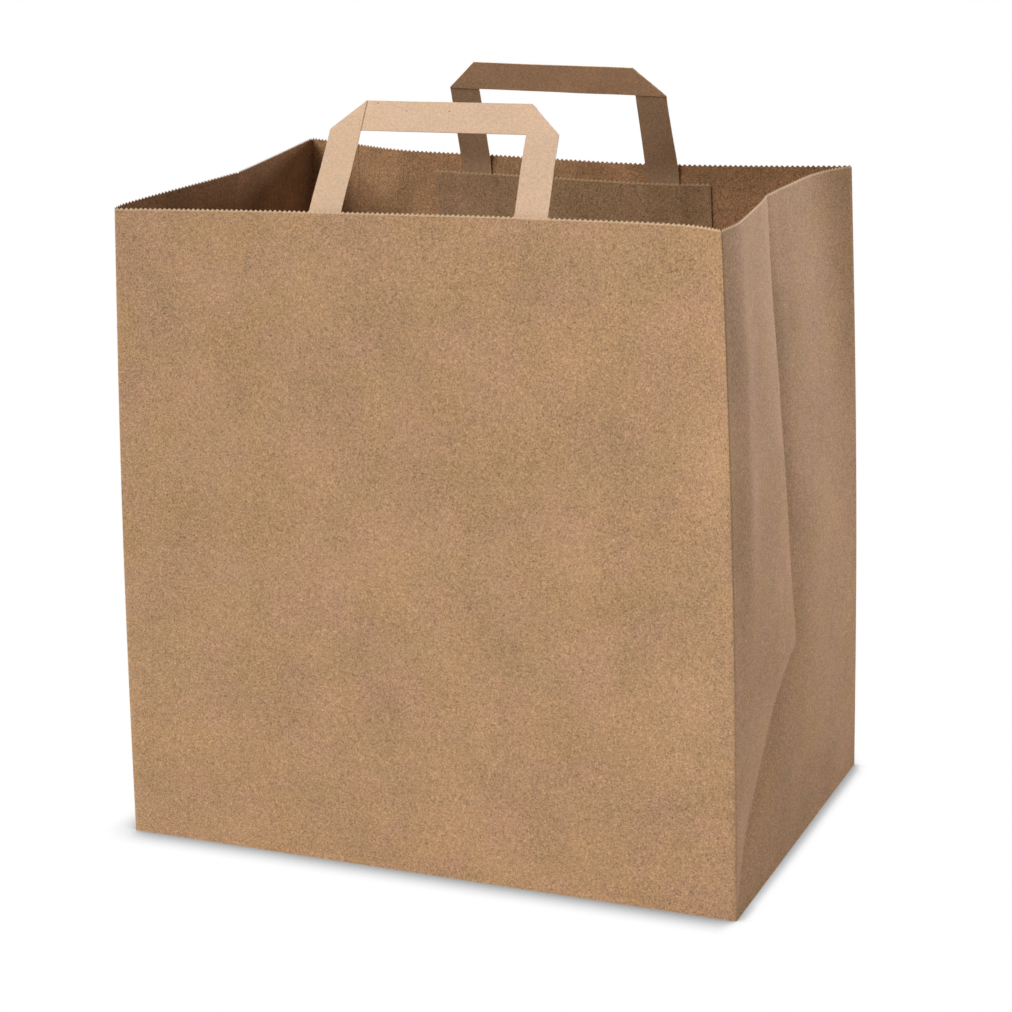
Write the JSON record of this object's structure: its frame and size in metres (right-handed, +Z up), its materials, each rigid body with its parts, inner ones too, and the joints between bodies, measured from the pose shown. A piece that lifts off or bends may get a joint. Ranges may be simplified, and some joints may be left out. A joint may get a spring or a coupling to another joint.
{
  "type": "paper carrier bag",
  "caption": "Open kraft paper carrier bag with side gussets, a glued block bottom, a toothed rim and two flat tape handles held under inner patches.",
  "frame": {"origin": "middle of the folded base rectangle, on the outer face of the outermost bottom flap, where the bag stands", "axes": "+Z up towards the handles, +X along the wide panels to the right seen from the front, -Y out of the front panel"},
  "size_m": [0.3733, 0.2599, 0.429],
  "materials": {
    "bag_body": "matte natural kraft",
    "front_handle": "matte natural kraft",
    "rear_handle": "matte natural kraft",
    "front_patch": "matte natural kraft",
    "rear_patch": "matte natural kraft"
  },
  "bodies": {
    "root": {"bag_body": "bag_body", "front_handle": "front_handle", "rear_handle": "rear_handle", "front_patch": "front_patch", "rear_patch": "rear_patch"}
  },
  "joints": []
}
